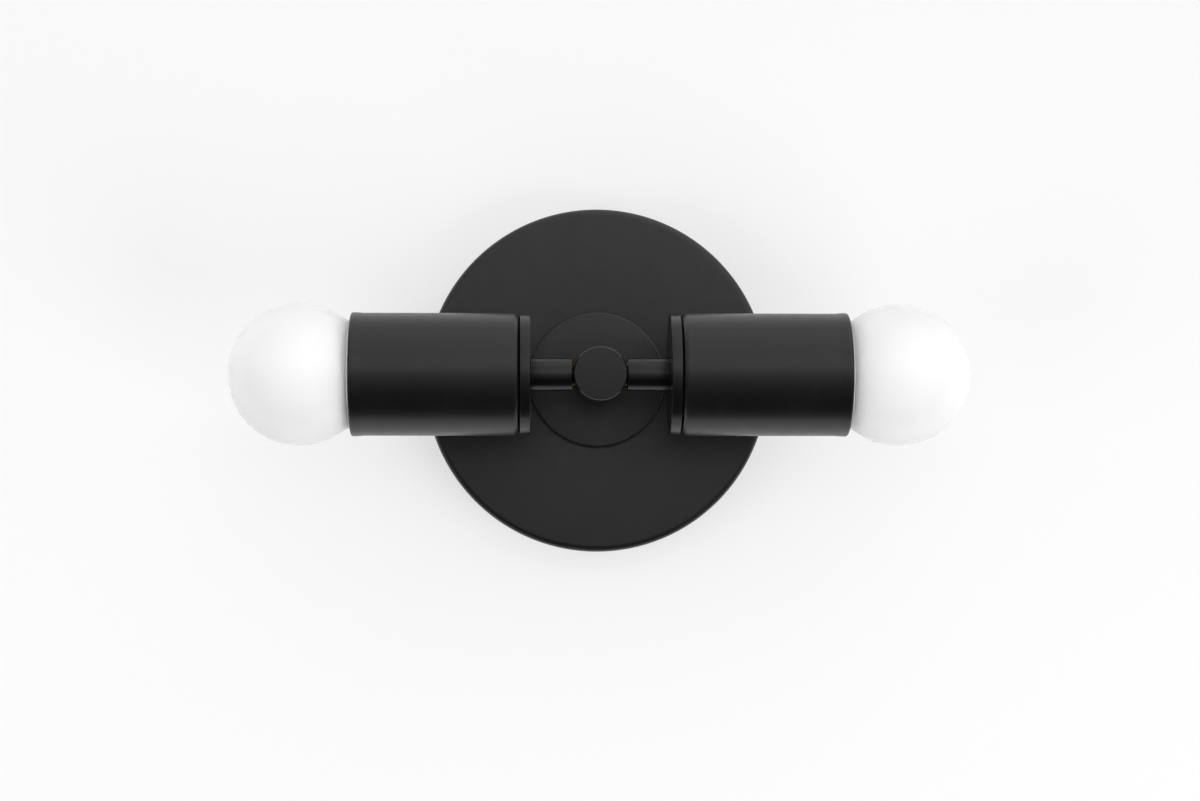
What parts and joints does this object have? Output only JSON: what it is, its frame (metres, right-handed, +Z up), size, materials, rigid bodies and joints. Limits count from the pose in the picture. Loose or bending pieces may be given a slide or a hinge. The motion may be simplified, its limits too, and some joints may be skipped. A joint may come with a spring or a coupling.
{
  "type": "vanity light",
  "caption": "Matte black wall light: round canopy, short stem and two opposed cylindrical cups, each holding a screw-in opal globe lamp pointing sideways.",
  "frame": {"origin": "centre of the canopy on the wall plane, midway between the two box slots of the crossbar", "axes": "+Z up, +Y into the wall, +X along the lamps; the light faces -Y"},
  "size_m": [0.2622, 0.0847, 0.127],
  "materials": {
    "black_metal": "matte black powder coat",
    "black_screw": "matte black",
    "plated_steel": "zinc plated",
    "green_screw": "green, semi-gloss",
    "copper": "bare copper",
    "brass": "bare brass thread",
    "yellow_plastic": "moulded",
    "phenolic": "moulded, satin",
    "ceramic_white": "glazed white",
    "nickel_shell": "rolled, bright",
    "black_insulation": "satin",
    "white_insulation": "satin",
    "opal": "opal white, glossy",
    "collar_plastic": "moulded, satin white",
    "lamp_nickel": "nickel plated",
    "black_glass": "glossy",
    "solder": "soldered, dull",
    "board_white": "white solder mask",
    "led_yellow": "phosphor yellow",
    "board_green": "green solder mask",
    "red_insulation": "satin"
  },
  "bodies": {
    "fixture": {"canopy": "black_metal", "crossbar": "plated_steel", "canopy_screws": "black_screw", "ground_screw": "green_screw", "ground_lead": "copper", "stem_tube": "brass", "canopy_locknut": "plated_steel", "lock_washers": "plated_steel", "centre_disc": "black_metal", "stem_sleeve": "black_metal", "centre_body": "black_metal", "black_wire_connector": "yellow_plastic", "white_wire_connector": "yellow_plastic", "left_arm_tube": "brass", "left_arm_sleeve": "black_metal", "left_cup_flange": "black_metal", "left_cup": "black_metal", "left_cup_locknut": "plated_steel", "left_holder_cap": "phenolic", "left_holder_body": "ceramic_white", "left_screw_shell": "nickel_shell", "left_centre_contact": "brass", "left_terminal_screws": "brass", "left_black_lead": "black_insulation", "left_white_lead": "white_insulation", "right_arm_tube": "brass", "right_arm_sleeve": "black_metal", "right_cup_flange": "black_metal", "right_cup": "black_metal", "right_cup_locknut": "plated_steel", "right_holder_cap": "phenolic", "right_holder_body": "ceramic_white", "right_screw_shell": "nickel_shell", "right_centre_contact": "brass", "right_terminal_screws": "brass", "right_black_lead": "black_insulation", "right_white_lead": "white_insulation"},
    "left_contact": {"left_lamp_contact": "solder"},
    "left_lamp": {"left_lamp_globe": "opal", "left_lamp_collar": "collar_plastic", "left_lamp_screw_shell": "lamp_nickel", "left_lamp_insulator": "black_glass", "left_led_board": "board_white", "left_led_chips": "led_yellow", "left_driver_board": "board_green", "left_driver_leads": "red_insulation"},
    "right_contact": {"right_lamp_contact": "solder"},
    "right_lamp": {"right_lamp_globe": "opal", "right_lamp_collar": "collar_plastic", "right_lamp_screw_shell": "lamp_nickel", "right_lamp_insulator": "black_glass", "right_led_board": "board_white", "right_led_chips": "led_yellow", "right_driver_board": "board_green", "right_driver_leads": "red_insulation"}
  },
  "joints": [
    {"name": "left_lamp_travel", "type": "slide", "parent": "fixture", "child": "left_contact", "axis": [-1, 0, 0], "range_m": [0, 0.02]},
    {"name": "left_lamp_turn", "type": "hinge", "parent": "left_contact", "child": "left_lamp", "pos_m": [0, -0.0595, 0], "axis": [-1, 0, 0], "range_deg": [0, 1980]},
    {"name": "right_lamp_travel", "type": "slide", "parent": "fixture", "child": "right_contact", "axis": [1, 0, 0], "range_m": [0, 0.02]},
    {"name": "right_lamp_turn", "type": "hinge", "parent": "right_contact", "child": "right_lamp", "pos_m": [0, -0.0595, 0], "axis": [1, 0, 0], "range_deg": [0, 1980]}
  ],
  "couplings": [
    {"joint": "left_lamp_travel", "follows": "left_lamp_turn", "m_per_rad": 0.00057757},
    {"joint": "right_lamp_travel", "follows": "right_lamp_turn", "m_per_rad": 0.00057757}
  ]
}
